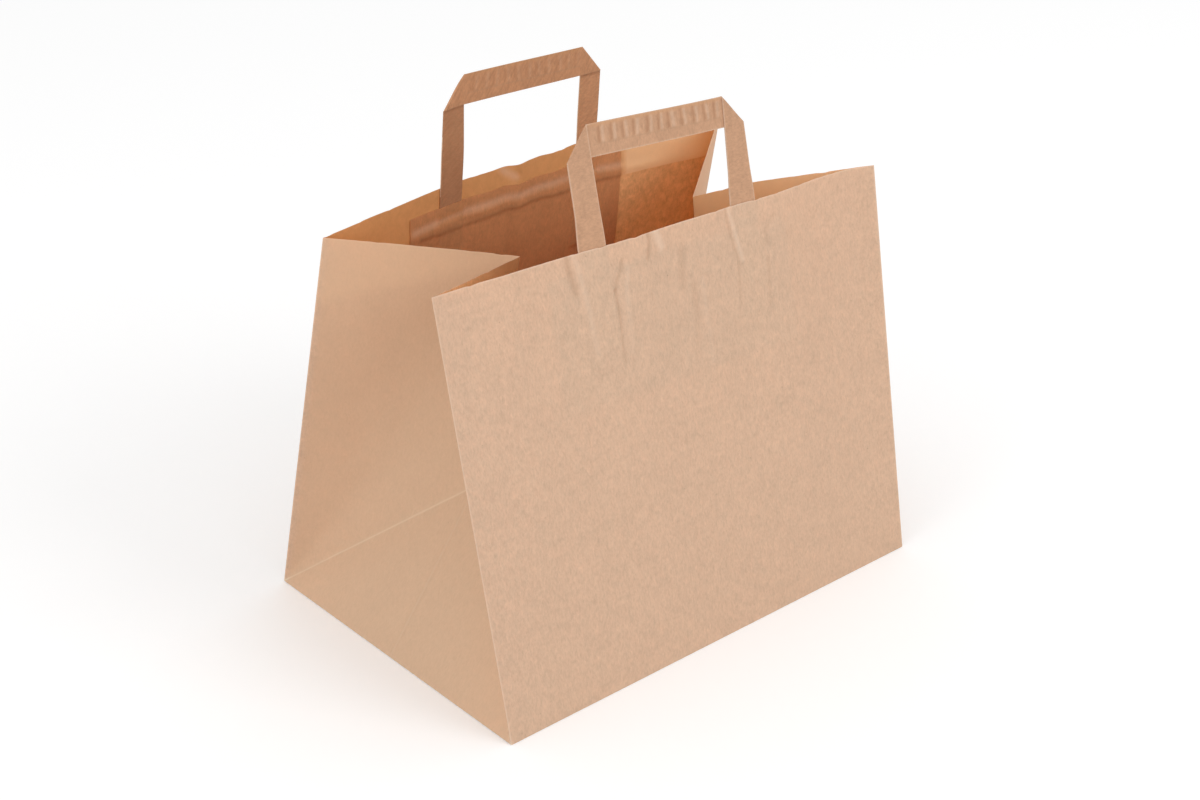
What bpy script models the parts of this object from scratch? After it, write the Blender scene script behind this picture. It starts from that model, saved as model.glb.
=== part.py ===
"""Paper carrier bag: one folded sheet with a block base, and two flat folded paper handles.

Metres, +Z up. X runs along the two wide walls and the front wall is at -Y. The origin is the middle
of the base, on the surface that the bag stands on. The side gussets are folded part of the way in,
so the mouth is narrower than the base and its four corners lean by different amounts.
"""
import math
from collections import namedtuple

import bmesh
import bpy
from mathutils import Matrix, Vector

# Sizes of the sheet when it is folded square
BAG_WIDTH = 0.320
BAG_DEPTH = 0.220
BAG_HEIGHT = 0.245
PAPER = 0.00015

# How each wide wall stands. A lean is how far a mouth corner lies in over its base corner, and a slew
# is how far it has moved along +X. The bow lists shares of the wall's width with how much further in
# the mouth edge lies there, and the belly is how far the middle of the wall sinks in below the mouth.
Wall = namedtuple("Wall", "side left_lean right_lean left_slew right_slew bow belly")
FRONT_BOW = ((0, 0), (0.10, 0.0015), (0.30, 0.0012), (0.42, -0.0008), (0.60, 0.0022),
             (0.76, 0.0024), (0.93, 0.0100), (1, 0))
BACK_BOW = ((0, 0), (0.13, -0.0038), (0.25, -0.0080), (0.36, -0.0113), (0.47, -0.0112),
            (0.58, -0.0108), (0.72, -0.0140), (0.87, -0.0080), (1, 0))
FRONT = Wall(-1, 0.0661, 0.0512, 0.0052, 0.0048, FRONT_BOW, 0)
BACK = Wall(1, 0.0553, 0.0376, 0.0066, 0.0062, BACK_BOW, 0.0070)

# The gussets: how far the bottom triangle of each one is tucked in from upright
LEFT_TUCK = math.radians(36)
RIGHT_TUCK = math.radians(38)

# The base: two long flaps lap over each other under the base sheet, with mitred ends
BASE_LAP = 0.030
FLAP_SETBACK = PAPER
FLAP_BOND = PAPER / 2

# The handles: a flat ribbon of folded paper, turned at 45 degrees at both top corners. Span is the
# width over both legs, rise the height of the grip's lower edge over the mouth, shift how far a
# handle sits along its wall, and turn how far it was glued out of square.
RIBBON_WIDTH = 0.0175
RIBBON = 0.0007
LEG_DEPTH = 0.064
FOLD_BOND = RIBBON / 20
Glued = namedtuple("Glued", "span rise shift turn")
FRONT_HANDLE = Glued(0.1298, 0.0458, 0.0004, math.radians(-1.1))
BACK_HANDLE = Glued(0.1280, 0.0445, -0.0056, math.radians(-1.8))

# The patches that hold the handles' legs against the walls
PATCH_WIDTH = 0.172
PATCH_HEIGHT = 0.073
PATCH_DROP = 0.012
PATCH = 0.00025
PATCH_RAMP = 0.003
LEG_ROOM = 0.001

# Clear space between one glued piece and the next
GLUE_GAP = 0.0003

# How finely the walls, and what is glued to them, follow the curve of the paper, and the step along
# a wall over which its slope is read
WALL_COLUMNS = 32
WALL_ROWS = 8
NEAR = 0.001

# The outer face of the base sheet, over its two flaps
BASE_LEVEL = 2 * PAPER

# Over 1 moves the deepest part of a wall's belly up from its middle
BELLY_SKEW = 1.3


def clear_scene():
    for item in list(bpy.data.objects):
        bpy.data.objects.remove(item, do_unlink=True)


def make_collection(name):
    group = bpy.data.collections.new(name)
    bpy.context.scene.collection.children.link(group)
    return group


def paper_material(name, colour, roughness):
    material = bpy.data.materials.new(name)
    material.use_nodes = True
    shader = material.node_tree.nodes["Principled BSDF"]
    shader.inputs["Base Color"].default_value = (*colour, 1)
    shader.inputs["Roughness"].default_value = roughness
    shader.inputs["Metallic"].default_value = 0
    material.diffuse_color = (*colour, 1)
    return material


def add_object(name, bm, group, material=None):
    mesh = bpy.data.meshes.new(name)
    bm.to_mesh(mesh)
    bm.free()
    item = bpy.data.objects.new(name, mesh)
    if material:
        mesh.materials.append(material)
    group.objects.link(item)
    return item


def mix(low, high, share):
    return low + (high - low) * share


def eased(stations, share):
    """A smooth curve through (share, value) stations, read at one share."""
    last = len(stations) - 2
    at = max(i for i in range(last + 1) if i == 0 or stations[i][0] <= share)
    (x0, y0), (x1, y1) = stations[at], stations[at + 1]
    before = stations[max(at - 1, 0)]
    after = stations[min(at + 2, last + 1)]
    slope0 = (y1 - before[1]) / (x1 - before[0])
    slope1 = (after[1] - y0) / (after[0] - x0)
    run = x1 - x0
    t = (share - x0) / run
    return ((2 * t**3 - 3 * t**2 + 1) * y0 + (t**3 - 2 * t**2 + t) * run * slope0
            + (3 * t**2 - 2 * t**3) * y1 + (t**3 - t**2) * run * slope1)


def wall_point(wall, x, height):
    """The outer face of a wall, x along it and height up the paper from the base fold.

    Past the mouth it carries on straight, which is where the handles stand.
    """
    if height > BAG_HEIGHT:
        edge = wall_point(wall, x, BAG_HEIGHT)
        below = wall_point(wall, x, BAG_HEIGHT - NEAR)
        return edge + (edge - below) * (height - BAG_HEIGHT) / NEAR
    share = x / BAG_WIDTH + 0.5
    up = height / BAG_HEIGHT
    lean = mix(wall.left_lean, wall.right_lean, share) + eased(wall.bow, share)
    slew = mix(wall.left_slew, wall.right_slew, share)
    rise = math.sqrt(BAG_HEIGHT**2 - lean**2 - slew**2)
    across = math.sqrt(max(0, math.sin(math.pi * share)))
    belly = wall.belly * across * math.sin(math.pi * up**BELLY_SKEW)
    return Vector((x + slew * up,
                   wall.side * (BAG_DEPTH / 2 - lean * up - belly),
                   BASE_LEVEL + rise * up))


def inside_wall(wall, x, height, off):
    """A point at a distance off the inner face of a wall."""
    limit = BAG_WIDTH / 2 - NEAR
    x_mid = max(-limit, min(limit, x))
    low = max(height - NEAR, 0)
    along = wall_point(wall, x_mid + NEAR, height) - wall_point(wall, x_mid - NEAR, height)
    upward = wall_point(wall, x, low + 2 * NEAR) - wall_point(wall, x, low)
    inward = -wall.side * upward.cross(along).normalized()
    return wall_point(wall, x, height) + inward * (PAPER + off)


def meet(centres, radii, toward):
    """The point at three given distances from three centres, on the side of a fourth point."""
    a, b, c = centres
    ex = (b - a).normalized()
    i = ex.dot(c - a)
    ey = (c - a - ex * i).normalized()
    j = ey.dot(c - a)
    d = (b - a).length
    x = (radii[0]**2 - radii[1]**2 + d**2) / (2 * d)
    y = (radii[0]**2 - radii[2]**2 + i**2 + j**2 - 2 * i * x) / (2 * j)
    ez = ex.cross(ey)
    z = math.sqrt(radii[0]**2 - x**2 - y**2)
    base = a + ex * x + ey * y
    return min((base + ez * z, base - ez * z), key=lambda point: (point - toward).length)


def gusset_points(side, tuck):
    """The apex of a gusset's bottom triangle, and the tip of its centre fold at the mouth."""
    half = BAG_DEPTH / 2
    apex = Vector((side * (BAG_WIDTH / 2 - half * math.sin(tuck)), 0,
                   BASE_LEVEL + half * math.cos(tuck)))
    corners = [wall_point(wall, side * BAG_WIDTH / 2, BAG_HEIGHT) for wall in (FRONT, BACK)]
    tip = meet((*corners, apex), (half, half, BAG_HEIGHT - half), Vector((0, 0, BAG_HEIGHT)))
    return apex, tip


def wall_grid(bm, wall):
    """One wide wall as a grid, with its rows of corners returned from the base to the mouth."""
    made = bmesh.ops.create_grid(bm, x_segments=WALL_COLUMNS, y_segments=WALL_ROWS, size=0.5)
    rows = [[] for _ in range(WALL_ROWS + 1)]
    for vert in made["verts"]:
        rows[round((vert.co.y + 0.5) * WALL_ROWS)].append(vert)
    for row in rows:
        row.sort(key=lambda vert: vert.co.x)
        for vert in row:
            vert.co = wall_point(wall, vert.co.x * BAG_WIDTH, (vert.co.y + 0.5) * BAG_HEIGHT)
    return rows


def sheet_mesh():
    """The whole sheet as one open surface: two walls, two gussets of five panels and the base."""
    bm = bmesh.new()
    front = wall_grid(bm, FRONT)
    back = wall_grid(bm, BACK)
    for at in range(WALL_COLUMNS):
        base = bm.faces.new((*front[0][at:at + 2], *back[0][at:at + 2][::-1]))
    for side, end, tuck in ((-1, 0, LEFT_TUCK), (1, -1, RIGHT_TUCK)):
        apex, tip = (bm.verts.new(point) for point in gusset_points(side, tuck))
        bm.faces.new((front[0][end], back[0][end], apex))
        for rows in (front, back):
            post = [row[end] for row in rows]
            bm.faces.new((post[0], apex, tip))
            for low, high in zip(post, post[1:]):
                bm.faces.new((low, high, tip))
    bmesh.ops.recalc_face_normals(bm, faces=bm.faces)
    if base.normal.z > 0:
        bmesh.ops.reverse_faces(bm, faces=bm.faces)
    return bm


def plate(name, outline, low, high, group):
    """A flat outline in the XY plane as a mesh plate between two heights."""
    curve = bpy.data.curves.new(name, "CURVE")
    curve.dimensions = "2D"
    curve.fill_mode = "BOTH"
    curve.extrude = (high - low) / 2
    line = curve.splines.new("POLY")
    line.points.add(len(outline) - 1)
    for point, (x, y) in zip(line.points, outline):
        point.co = (x, y, 0, 1)
    line.use_cyclic_u = True
    guide = bpy.data.objects.new(name + "_outline", curve)
    group.objects.link(guide)
    guide.location.z = (low + high) / 2
    bpy.context.view_layer.update()
    shape = guide.evaluated_get(bpy.context.evaluated_depsgraph_get())
    mesh = bpy.data.meshes.new_from_object(shape)
    mesh.transform(guide.matrix_world)
    bpy.data.objects.remove(guide, do_unlink=True)
    bm = bmesh.new()
    bm.from_mesh(mesh)
    bpy.data.meshes.remove(mesh)
    bmesh.ops.remove_doubles(bm, verts=bm.verts, dist=PAPER / 100)
    bmesh.ops.recalc_face_normals(bm, faces=bm.faces)
    return add_object(name, bm, group)


def as_cutter(item):
    item.hide_render = True
    item.display_type = "WIRE"
    return item


def join(item, others):
    for other in others:
        union = item.modifiers.new(other.name, "BOOLEAN")
        union.operation = "UNION"
        union.object = as_cutter(other)


def base_flap(side, low, group):
    """One long base flap, from its fold to past the middle, with 45 degree ends."""
    fold = BAG_DEPTH / 2 - FLAP_SETBACK
    reach = fold + BASE_LAP / 2
    wide = BAG_WIDTH / 2 - FLAP_SETBACK
    narrow = wide - reach
    outline = [(-wide, side * fold), (wide, side * fold),
               (narrow, side * (fold - reach)), (-narrow, side * (fold - reach))]
    name = "front_flap" if side < 0 else "back_flap"
    return plate(name, outline, low, BASE_LEVEL + FLAP_BOND, group)


def make_body(group, cutters, material):
    body = add_object("bag_body", sheet_mesh(), group, material)
    wall = body.modifiers.new("paper", "SOLIDIFY")
    wall.thickness = PAPER
    wall.offset = -1
    wall.use_even_offset = True
    wall.use_quality_normals = True
    join(body, [base_flap(-1, 0, cutters), base_flap(1, PAPER, cutters)])
    return body


def wrap(flat, wall, glued):
    """Takes a piece drawn flat, with X along the wall, Y up the paper and Z off it, onto the wall."""
    bm = bmesh.new()
    bm.from_mesh(flat)
    pivot = Vector((0, BAG_HEIGHT, 0))
    spin = Matrix.Translation(pivot) @ Matrix.Rotation(glued.turn, 4, "Z") @ Matrix.Translation(-pivot)
    bmesh.ops.transform(bm, matrix=Matrix.Translation((glued.shift, 0, 0)) @ spin, verts=bm.verts)
    cuts = [(Vector((BAG_WIDTH * (i / WALL_COLUMNS - 0.5), 0, 0)), Vector((1, 0, 0)))
            for i in range(1, WALL_COLUMNS)]
    cuts += [(Vector((0, BAG_HEIGHT * i / WALL_ROWS, 0)), Vector((0, 1, 0)))
             for i in range(1, WALL_ROWS + 1)]
    for place, normal in cuts:
        everything = bm.verts[:] + bm.edges[:] + bm.faces[:]
        bmesh.ops.bisect_plane(bm, geom=everything, dist=PAPER / 10, plane_co=place, plane_no=normal)
    bmesh.ops.triangulate(bm, faces=bm.faces)
    for vert in bm.verts:
        vert.co = inside_wall(wall, *vert.co)
    if wall.side < 0:
        bmesh.ops.reverse_faces(bm, faces=bm.faces)
    return bm


def applied_mesh(item):
    bpy.context.view_layer.update()
    return bpy.data.meshes.new_from_object(item.evaluated_get(bpy.context.evaluated_depsgraph_get()))


def make_handle(name, wall, glued, group, cutters, material):
    """Two legs on the wall's side and the grip across them on the inside, folded at 45 degrees."""
    half = glued.span / 2
    inner = half - RIBBON_WIDTH
    foot = BAG_HEIGHT - LEG_DEPTH
    low = BAG_HEIGHT + glued.rise
    top = low + RIBBON_WIDTH
    middle = GLUE_GAP + RIBBON
    grip = plate(name + "_grip", [(-half, low), (half, low), (inner, top), (-inner, top)],
                 middle, middle + RIBBON, cutters)
    legs = [plate(name + end, [(side * half, foot), (side * half, low), (side * inner, top),
                               (side * inner, foot)], GLUE_GAP, middle + FOLD_BOND, cutters)
            for side, end in ((-1, "_left_leg"), (1, "_right_leg"))]
    join(grip, legs)
    flat = applied_mesh(grip)
    for used in (grip, *legs):
        bpy.data.objects.remove(used, do_unlink=True)
    bm = wrap(flat, wall, glued)
    bpy.data.meshes.remove(flat)
    return add_object(name, bm, group, material)


def make_patch(name, wall, glued, group, cutters, material):
    """A sheet glued over both legs, stepping up over each of them."""
    half = PATCH_WIDTH / 2
    leg_outer = glued.span / 2 + LEG_ROOM
    leg_inner = glued.span / 2 - RIBBON_WIDTH - LEG_ROOM
    near = GLUE_GAP
    over = GLUE_GAP + RIBBON + GLUE_GAP
    right = [(leg_inner - PATCH_RAMP, near), (leg_inner, over), (leg_outer, over),
             (leg_outer + PATCH_RAMP, near), (half, near)]
    profile = [(-x, off) for x, off in right[::-1]] + right
    top = BAG_HEIGHT - PATCH_DROP
    bm = bmesh.new()
    verts = [bm.verts.new((x, top - PATCH_HEIGHT, off)) for x, off in profile]
    edges = [bm.edges.new(pair) for pair in zip(verts, verts[1:])]
    raised = bmesh.ops.extrude_edge_only(bm, edges=edges)["geom"]
    upper = [part for part in raised if isinstance(part, bmesh.types.BMVert)]
    bmesh.ops.translate(bm, verts=upper, vec=(0, PATCH_HEIGHT, 0))
    bmesh.ops.recalc_face_normals(bm, faces=bm.faces)
    if bm.faces[0].normal.z < 0:
        bmesh.ops.reverse_faces(bm, faces=bm.faces)
    sheet = add_object(name + "_flat", bm, cutters)
    ply = sheet.modifiers.new("ply", "SOLIDIFY")
    ply.thickness = PATCH
    ply.offset = 1
    ply.use_even_offset = True
    flat = applied_mesh(sheet)
    bpy.data.objects.remove(sheet, do_unlink=True)
    bm = wrap(flat, wall, glued)
    bpy.data.meshes.remove(flat)
    return add_object(name, bm, group, material)


def build():
    clear_scene()
    parts = make_collection("paper_carrier_bag")
    cutters = make_collection("cutters")
    kraft = paper_material("kraft_paper", (0.64, 0.44, 0.30), 0.85)
    ribbon = paper_material("handle_paper", (0.58, 0.38, 0.25), 0.85)
    backing = paper_material("patch_paper", (0.61, 0.41, 0.27), 0.85)
    make_body(parts, cutters, kraft)
    for name, wall, glued in (("front_handle", FRONT, FRONT_HANDLE), ("back_handle", BACK, BACK_HANDLE)):
        make_handle(name, wall, glued, parts, cutters, ribbon)
        make_patch(name + "_patch", wall, glued, parts, cutters, backing)


build()
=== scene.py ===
"""Looks of the paper carrier bag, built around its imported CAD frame.

The sections follow the bag as it is made: the sheet, its base flaps, the patches, the handles, then
the floor, the light and the camera. Everything is in metres in the frame of the CAD.
"""

import math
from collections import namedtuple

import bmesh
import bpy
from mathutils import Matrix, Vector, noise
from mathutils.geometry import intersect_point_line


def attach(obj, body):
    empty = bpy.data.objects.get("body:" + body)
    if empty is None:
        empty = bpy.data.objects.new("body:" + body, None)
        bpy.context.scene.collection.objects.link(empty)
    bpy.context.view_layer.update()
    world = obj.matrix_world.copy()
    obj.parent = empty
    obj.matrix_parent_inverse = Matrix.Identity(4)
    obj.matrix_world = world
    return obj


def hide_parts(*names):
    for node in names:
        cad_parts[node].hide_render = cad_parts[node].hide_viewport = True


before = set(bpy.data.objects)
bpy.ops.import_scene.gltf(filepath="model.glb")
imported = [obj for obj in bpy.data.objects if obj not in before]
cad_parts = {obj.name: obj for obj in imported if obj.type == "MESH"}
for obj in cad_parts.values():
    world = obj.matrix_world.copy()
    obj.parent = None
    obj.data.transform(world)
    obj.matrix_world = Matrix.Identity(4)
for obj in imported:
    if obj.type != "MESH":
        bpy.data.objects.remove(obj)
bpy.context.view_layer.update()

# The sheet: one web of brown kraft paper glued into a tube, pressed flat with its gussets folded in,
# and closed at the foot as a block. It was opened by hand, so the gussets still stand part-folded.
WIDTH = 0.320
DEPTH = 0.220
HEIGHT = 0.245
PAPER = 0.00015
FOOT = 2 * PAPER
CELL = 0.0025
HALF_GUSSET = DEPTH / 2
NEAR = 0.001
SHARP = math.radians(28)

# Each wide wall: how far its mouth lies in over its base, read along the width, and how far its two
# top corners have moved along X. The belly is how far the middle sinks in.
Wall = namedtuple("Wall", "side lean left_slew right_slew belly")
FRONT = Wall(-1, ((0, 0.0661), (0.08, 0.0665), (0.134, 0.0648), (0.197, 0.0645), (0.259, 0.0636),
                  (0.297, 0.0628), (0.325, 0.0612), (0.353, 0.0603), (0.425, 0.0589),
                  (0.4625, 0.0598), (0.525, 0.0604), (0.572, 0.0598), (0.619, 0.0597),
                  (0.653, 0.0602), (0.681, 0.0591), (0.703, 0.0581), (0.7375, 0.0570),
                  (0.797, 0.0586), (0.85, 0.0610), (0.894, 0.0624), (0.944, 0.0612),
                  (0.975, 0.0567), (1, 0.0512)), 0.0052, 0.0048, 0)
BACK = Wall(1, ((0, 0.0553), (0.061, 0.0522), (0.111, 0.0491), (0.158, 0.0469), (0.208, 0.0441),
                (0.258, 0.0412), (0.283, 0.0400), (0.336, 0.0377), (0.358, 0.0371),
                (0.408, 0.0365), (0.446, 0.0353), (0.471, 0.0374), (0.505, 0.0353),
                (0.533, 0.0341), (0.561, 0.0346), (0.583, 0.0337), (0.627, 0.0313),
                (0.72, 0.0286), (0.87, 0.0319), (1, 0.0376)), 0.0066, 0.0062, 0.0070)
BELLY_SKEW = 1.3

# The back wall is creased right across below its mouth, as (x, height) stations. It sinks in there,
# and an uneven low ridge runs along just above the crease.
CREASE_LINE = ((-0.160, 0.2175), (-0.085, 0.2183), (0.001, 0.2196), (0.082, 0.2160), (0.160, 0.2138))
CREASE_SINK = 0.0014
CREASE_SOFT = 0.0025
RIDGE_UP = 0.0030
RIDGE_HALF = 0.0032
RIDGE_HEIGHT = 0.0006
RIDGE_UNEVEN = 0.8
RIDGE_WAVES = 45

# The legs of the handles, which are glued inside, push the wall out a little
LEG_DEPTH = 0.064
LEG_END = HEIGHT - LEG_DEPTH
LEG_INNER = 0.048
LEG_OUTER = 0.068
LEG_PUSH = 0.0005
LEG_SOFT = 0.004

# The wrinkles of the walls, most of them where the legs pull: (x, height) points, half width, and how
# far each stands in towards the bag's inside, or out where that is less than nothing. Each also gets
# painted shade where it stands in and a painted highlight where it stands out, in full at DEEPEST. The
# first two of the back wall are the painted highlight band and the painted shade line of its crease.
FRONT_WRINKLES = (
    (((-0.0733, 0.2450), (-0.0728, 0.2378), (-0.0702, 0.2241)), 0.0028, 0.00045),
    (((-0.0687, 0.2450), (-0.0667, 0.2364), (-0.0647, 0.2178), (-0.0621, 0.1883)), 0.0028, -0.00032),
    (((-0.0386, 0.2345), (-0.0406, 0.2299), (-0.0457, 0.2197)), 0.0020, 0.00035),
    (((-0.0457, 0.2197), (-0.0448, 0.2071), (-0.0454, 0.1800)), 0.0017, 0.00048),
    (((-0.0350, 0.2300), (-0.0378, 0.2181), (-0.0394, 0.1836)), 0.0030, -0.00025),
    (((-0.0180, 0.2450), (-0.0175, 0.2409), (-0.0200, 0.2310)), 0.0024, 0.00045),
    (((-0.0120, 0.2450), (-0.0105, 0.2405), (-0.0087, 0.2350)), 0.0045, -0.00060),
    (((0.0124, 0.2080), (0.0119, 0.1878), (0.0084, 0.1660)), 0.0040, 0.00030),
    (((0.0192, 0.2100), (0.0186, 0.1900), (0.0205, 0.1620)), 0.0026, -0.00030),
    (((0.0065, 0.2290), (0.0040, 0.2100)), 0.0050, 0.00025),
    (((0.0427, 0.2450), (0.0427, 0.2404), (0.0458, 0.2225), (0.0481, 0.2126)), 0.0018, 0.00030),
    (((0.0481, 0.2110), (0.0461, 0.1880)), 0.0018, 0.00030),
    (((0.0452, 0.2450), (0.0452, 0.2410), (0.0486, 0.2253), (0.0511, 0.2130)), 0.0022, -0.00060),
    (((0.0778, 0.2337), (0.0713, 0.2277)), 0.0024, 0.00016),
    (((0.0685, 0.2272), (0.0710, 0.2183)), 0.0022, 0.00020),
    (((0.0696, 0.2100), (0.0676, 0.1820)), 0.0020, 0.00030),
)
BACK_WRINKLES = (
    (((-0.0900, 0.2240), (-0.0680, 0.2252), (-0.0215, 0.2260), (0.0270, 0.2262), (0.0800, 0.2225)),
     0.0042, -0.00024),
    (((-0.0853, 0.2183), (-0.0453, 0.2177), (0.0011, 0.2198), (0.0300, 0.2182), (0.0800, 0.2160)),
     0.0021, 0.00038),
    (((-0.0200, 0.2440), (-0.0156, 0.2405), (-0.0110, 0.2380)), 0.0045, -0.00040),
    (((-0.0095, 0.2450), (-0.0080, 0.2400)), 0.0022, 0.00030),
)
DEEPEST = 0.00045
WRINKLED_HALF = 0.095
WRINKLED_FROM = 0.155
WRINKLES_FADE = (0.165, 0.235)
WRINKLES_LEAST = 0.35

# The cockles of the free paper, as (waves a metre across, waves a metre up, depth). The finest lie where
# the handles pull. All of them are held flat close to the folds, and weaker close to the mouth.
BROAD_COCKLE = (16, 6, 0.0006)
FINE_COCKLE = (55, 9, 0.00022)
PULLED_COCKLE = (150, 14, 0.00012)
PULLED_FROM = 0.15
PULLED_FULL = 0.21
GUSSET_COCKLE = (40, 18, 0.0006)
FOLD_HOLD = 0.02
MOUTH_HOLD = 0.012
MOUTH_COCKLED = 0.35
MOUTH_WRINKLED = 0.3

# How far each gusset's bottom triangle is tucked in, and how its mouth edges bow off straight, as
# (share of the way from the wall's fold to the tip, bow) stations
LEFT_TUCK = math.radians(36)
RIGHT_TUCK = math.radians(38)
STRAIGHT = ((0, 0), (1, 0))
LEFT_BACK_BOW = ((0, 0), (0.36, 0.0016), (0.7, 0.0020), (0.87, 0.0014), (1, 0))
RIGHT_FRONT_BOW = ((0, 0), (0.08, 0.0012), (0.29, 0.0030), (0.66, 0.0064), (0.77, 0.0040),
                   (0.9, 0.0015), (1, 0))

# Each gusset's upper panel bends softly at its long fold, and is part of the way to one bowed face
SOFT_BEND = 0.060
SOFTENED = ((-1, 1), (-0.5, 2), (0, 3), (0.5, 2), (1, 1))
BOWED = 0.55


def mix(low, high, share):
    return low + (high - low) * share


def smooth(low, high, value):
    share = max(0, min(1, (value - low) / (high - low)))
    return share * share * (3 - 2 * share)


def follow(stations, at):
    """A smooth curve through (place, value) stations, read at one place."""
    last = len(stations) - 2
    i = max(i for i in range(last + 1) if i == 0 or stations[i][0] <= at)
    (x0, y0), (x1, y1) = stations[i], stations[i + 1]
    before = stations[max(i - 1, 0)]
    after = stations[min(i + 2, last + 1)]
    slope0 = (y1 - before[1]) / (x1 - before[0])
    slope1 = (after[1] - y0) / (after[0] - x0)
    run = x1 - x0
    t = (at - x0) / run
    return ((2 * t**3 - 3 * t**2 + 1) * y0 + (t**3 - 2 * t**2 + t) * run * slope0
            + (3 * t**2 - 2 * t**3) * y1 + (t**3 - t**2) * run * slope1)


def waves(kind, x, height, seed):
    """One kind of cockle at one point of the paper."""
    across, up, depth = kind
    return noise.noise(Vector((x * across, height * up, seed))) * depth


def cockle(x, height, seed):
    """The slight vertical waves of a large free panel of paper."""
    fine = waves(FINE_COCKLE, x, height, seed)
    broad = waves(BROAD_COCKLE, x, height, seed + 5)
    pulled = waves(PULLED_COCKLE, x, height, seed + 9)
    return fine + broad + pulled * smooth(PULLED_FROM, PULLED_FULL, height)


def wrinkled(wall, x, height):
    """How far a wall stands in at one point because of its wrinkles."""
    if abs(x) > WRINKLED_HALF or height < WRINKLED_FROM:
        return 0
    here = Vector((x, height))
    depth = 0
    for points, half, sink in FRONT_WRINKLES if wall is FRONT else BACK_WRINKLES:
        gap = 1
        for start, end in zip(points, points[1:]):
            near, share = intersect_point_line(here, start, end)
            near = Vector(start).lerp(Vector(end), max(0, min(1, share)))
            gap = min(gap, (here - near).length)
        if gap < half:
            depth += sink * (1 - smooth(0, half, gap))
    return depth * mix(WRINKLES_LEAST, 1, smooth(*WRINKLES_FADE, height))


def relief(wall, x, height):
    """How far a wall stands in from its smooth course. It is nothing at the wall's folds."""
    held = smooth(0, FOLD_HOLD, WIDTH / 2 - abs(x)) * smooth(0, FOLD_HOLD, height)
    free = smooth(0, MOUTH_HOLD, HEIGHT - height)
    depth = cockle(x, height, wall.side) * mix(MOUTH_COCKLED, 1, free)
    on_leg = (smooth(LEG_INNER - LEG_SOFT, LEG_INNER, abs(x))
              - smooth(LEG_OUTER, LEG_OUTER + LEG_SOFT, abs(x)))
    depth -= LEG_PUSH * on_leg * smooth(LEG_END - LEG_SOFT, LEG_END, height) * free
    depth += wrinkled(wall, x, height) * mix(MOUTH_WRINKLED, 1, free)
    if wall is BACK:
        line = follow(CREASE_LINE, max(-WIDTH / 2, min(WIDTH / 2, x)))
        above = max(0, height - line + CREASE_SOFT) / (HEIGHT - line)
        below = max(0, line + CREASE_SOFT - height) / line
        round_off = CREASE_SOFT / (HEIGHT - line)
        depth += CREASE_SINK * min(1, max(0, min(1 - above + round_off, 1 - below + round_off)))
        ridge = RIDGE_HEIGHT * (1 + RIDGE_UNEVEN * noise.noise(Vector((x * RIDGE_WAVES, 3, 0))))
        depth += ridge * math.exp(-((height - line - RIDGE_UP) / RIDGE_HALF) ** 2)
    return depth * held


def wall_point(wall, x, height, rough=True):
    """The outer face of a wall, x along it and height up the paper. Past the mouth it goes on straight."""
    if height > HEIGHT:
        edge = wall_point(wall, x, HEIGHT, False)
        below = wall_point(wall, x, HEIGHT - NEAR, False)
        return edge + (edge - below) * (height - HEIGHT) / NEAR
    share = max(0, min(1, x / WIDTH + 0.5))
    up = height / HEIGHT
    lean = follow(wall.lean, share)
    slew = mix(wall.left_slew, wall.right_slew, share)
    rise = math.sqrt(HEIGHT**2 - lean**2 - slew**2)
    across = math.sqrt(max(0, math.sin(math.pi * share)))
    sunk = wall.belly * across * math.sin(math.pi * up**BELLY_SKEW)
    if rough:
        sunk += relief(wall, x, height)
    return Vector((x + slew * up, wall.side * (DEPTH / 2 - lean * up - sunk), FOOT + rise * up))


def meet(centres, radii, toward):
    """The point at three given distances from three centres, on the side of a fourth point."""
    a, b, c = centres
    ex = (b - a).normalized()
    i = ex.dot(c - a)
    ey = (c - a - ex * i).normalized()
    j = ey.dot(c - a)
    d = (b - a).length
    x = (radii[0]**2 - radii[1]**2 + d**2) / (2 * d)
    y = (radii[0]**2 - radii[2]**2 + i**2 + j**2 - 2 * i * x) / (2 * j)
    off = ex.cross(ey) * math.sqrt(radii[0]**2 - x**2 - y**2)
    base = a + ex * x + ey * y
    return min((base + off, base - off), key=lambda point: (point - toward).length)


def gusset_points(side, tuck):
    """The apex of a gusset's bottom triangle, and the tip of its centre fold at the mouth."""
    apex = Vector((side * (WIDTH / 2 - HALF_GUSSET * math.sin(tuck)), 0,
                   FOOT + HALF_GUSSET * math.cos(tuck)))
    corners = [wall_point(wall, side * WIDTH / 2, HEIGHT) for wall in (FRONT, BACK)]
    radii = (HALF_GUSSET, HALF_GUSSET, HEIGHT - HALF_GUSSET)
    return apex, meet((*corners, apex), radii, Vector((0, 0, HEIGHT)))


POINTS = {-1: gusset_points(-1, LEFT_TUCK), 1: gusset_points(1, RIGHT_TUCK)}
BOWS = {(-1, FRONT): STRAIGHT, (-1, BACK): LEFT_BACK_BOW,
        (1, FRONT): RIGHT_FRONT_BOW, (1, BACK): STRAIGHT}


def panel_point(side, wall, out, height):
    """Half a gusset as three flat triangles, out from the wall's fold and height up the paper."""
    apex, tip = POINTS[side]
    foot = wall_point(wall, side * WIDTH / 2, 0)
    top = wall_point(wall, side * WIDTH / 2, HEIGHT)
    t = out / HALF_GUSSET
    if height <= out:
        middle = Vector((side * WIDTH / 2, 0, FOOT))
        return foot + (middle - foot) * t + (apex - middle) * (height / HALF_GUSSET)
    bend = foot + (tip - foot) * t
    bend_height = HEIGHT * t
    if height <= bend_height:
        low = foot + (apex - foot) * t
        return low.lerp(bend, (height - out) / (bend_height - out))
    if bend_height == HEIGHT:
        return bend
    return bend.lerp(top + (tip - top) * t, (height - bend_height) / (HEIGHT - bend_height))


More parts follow.
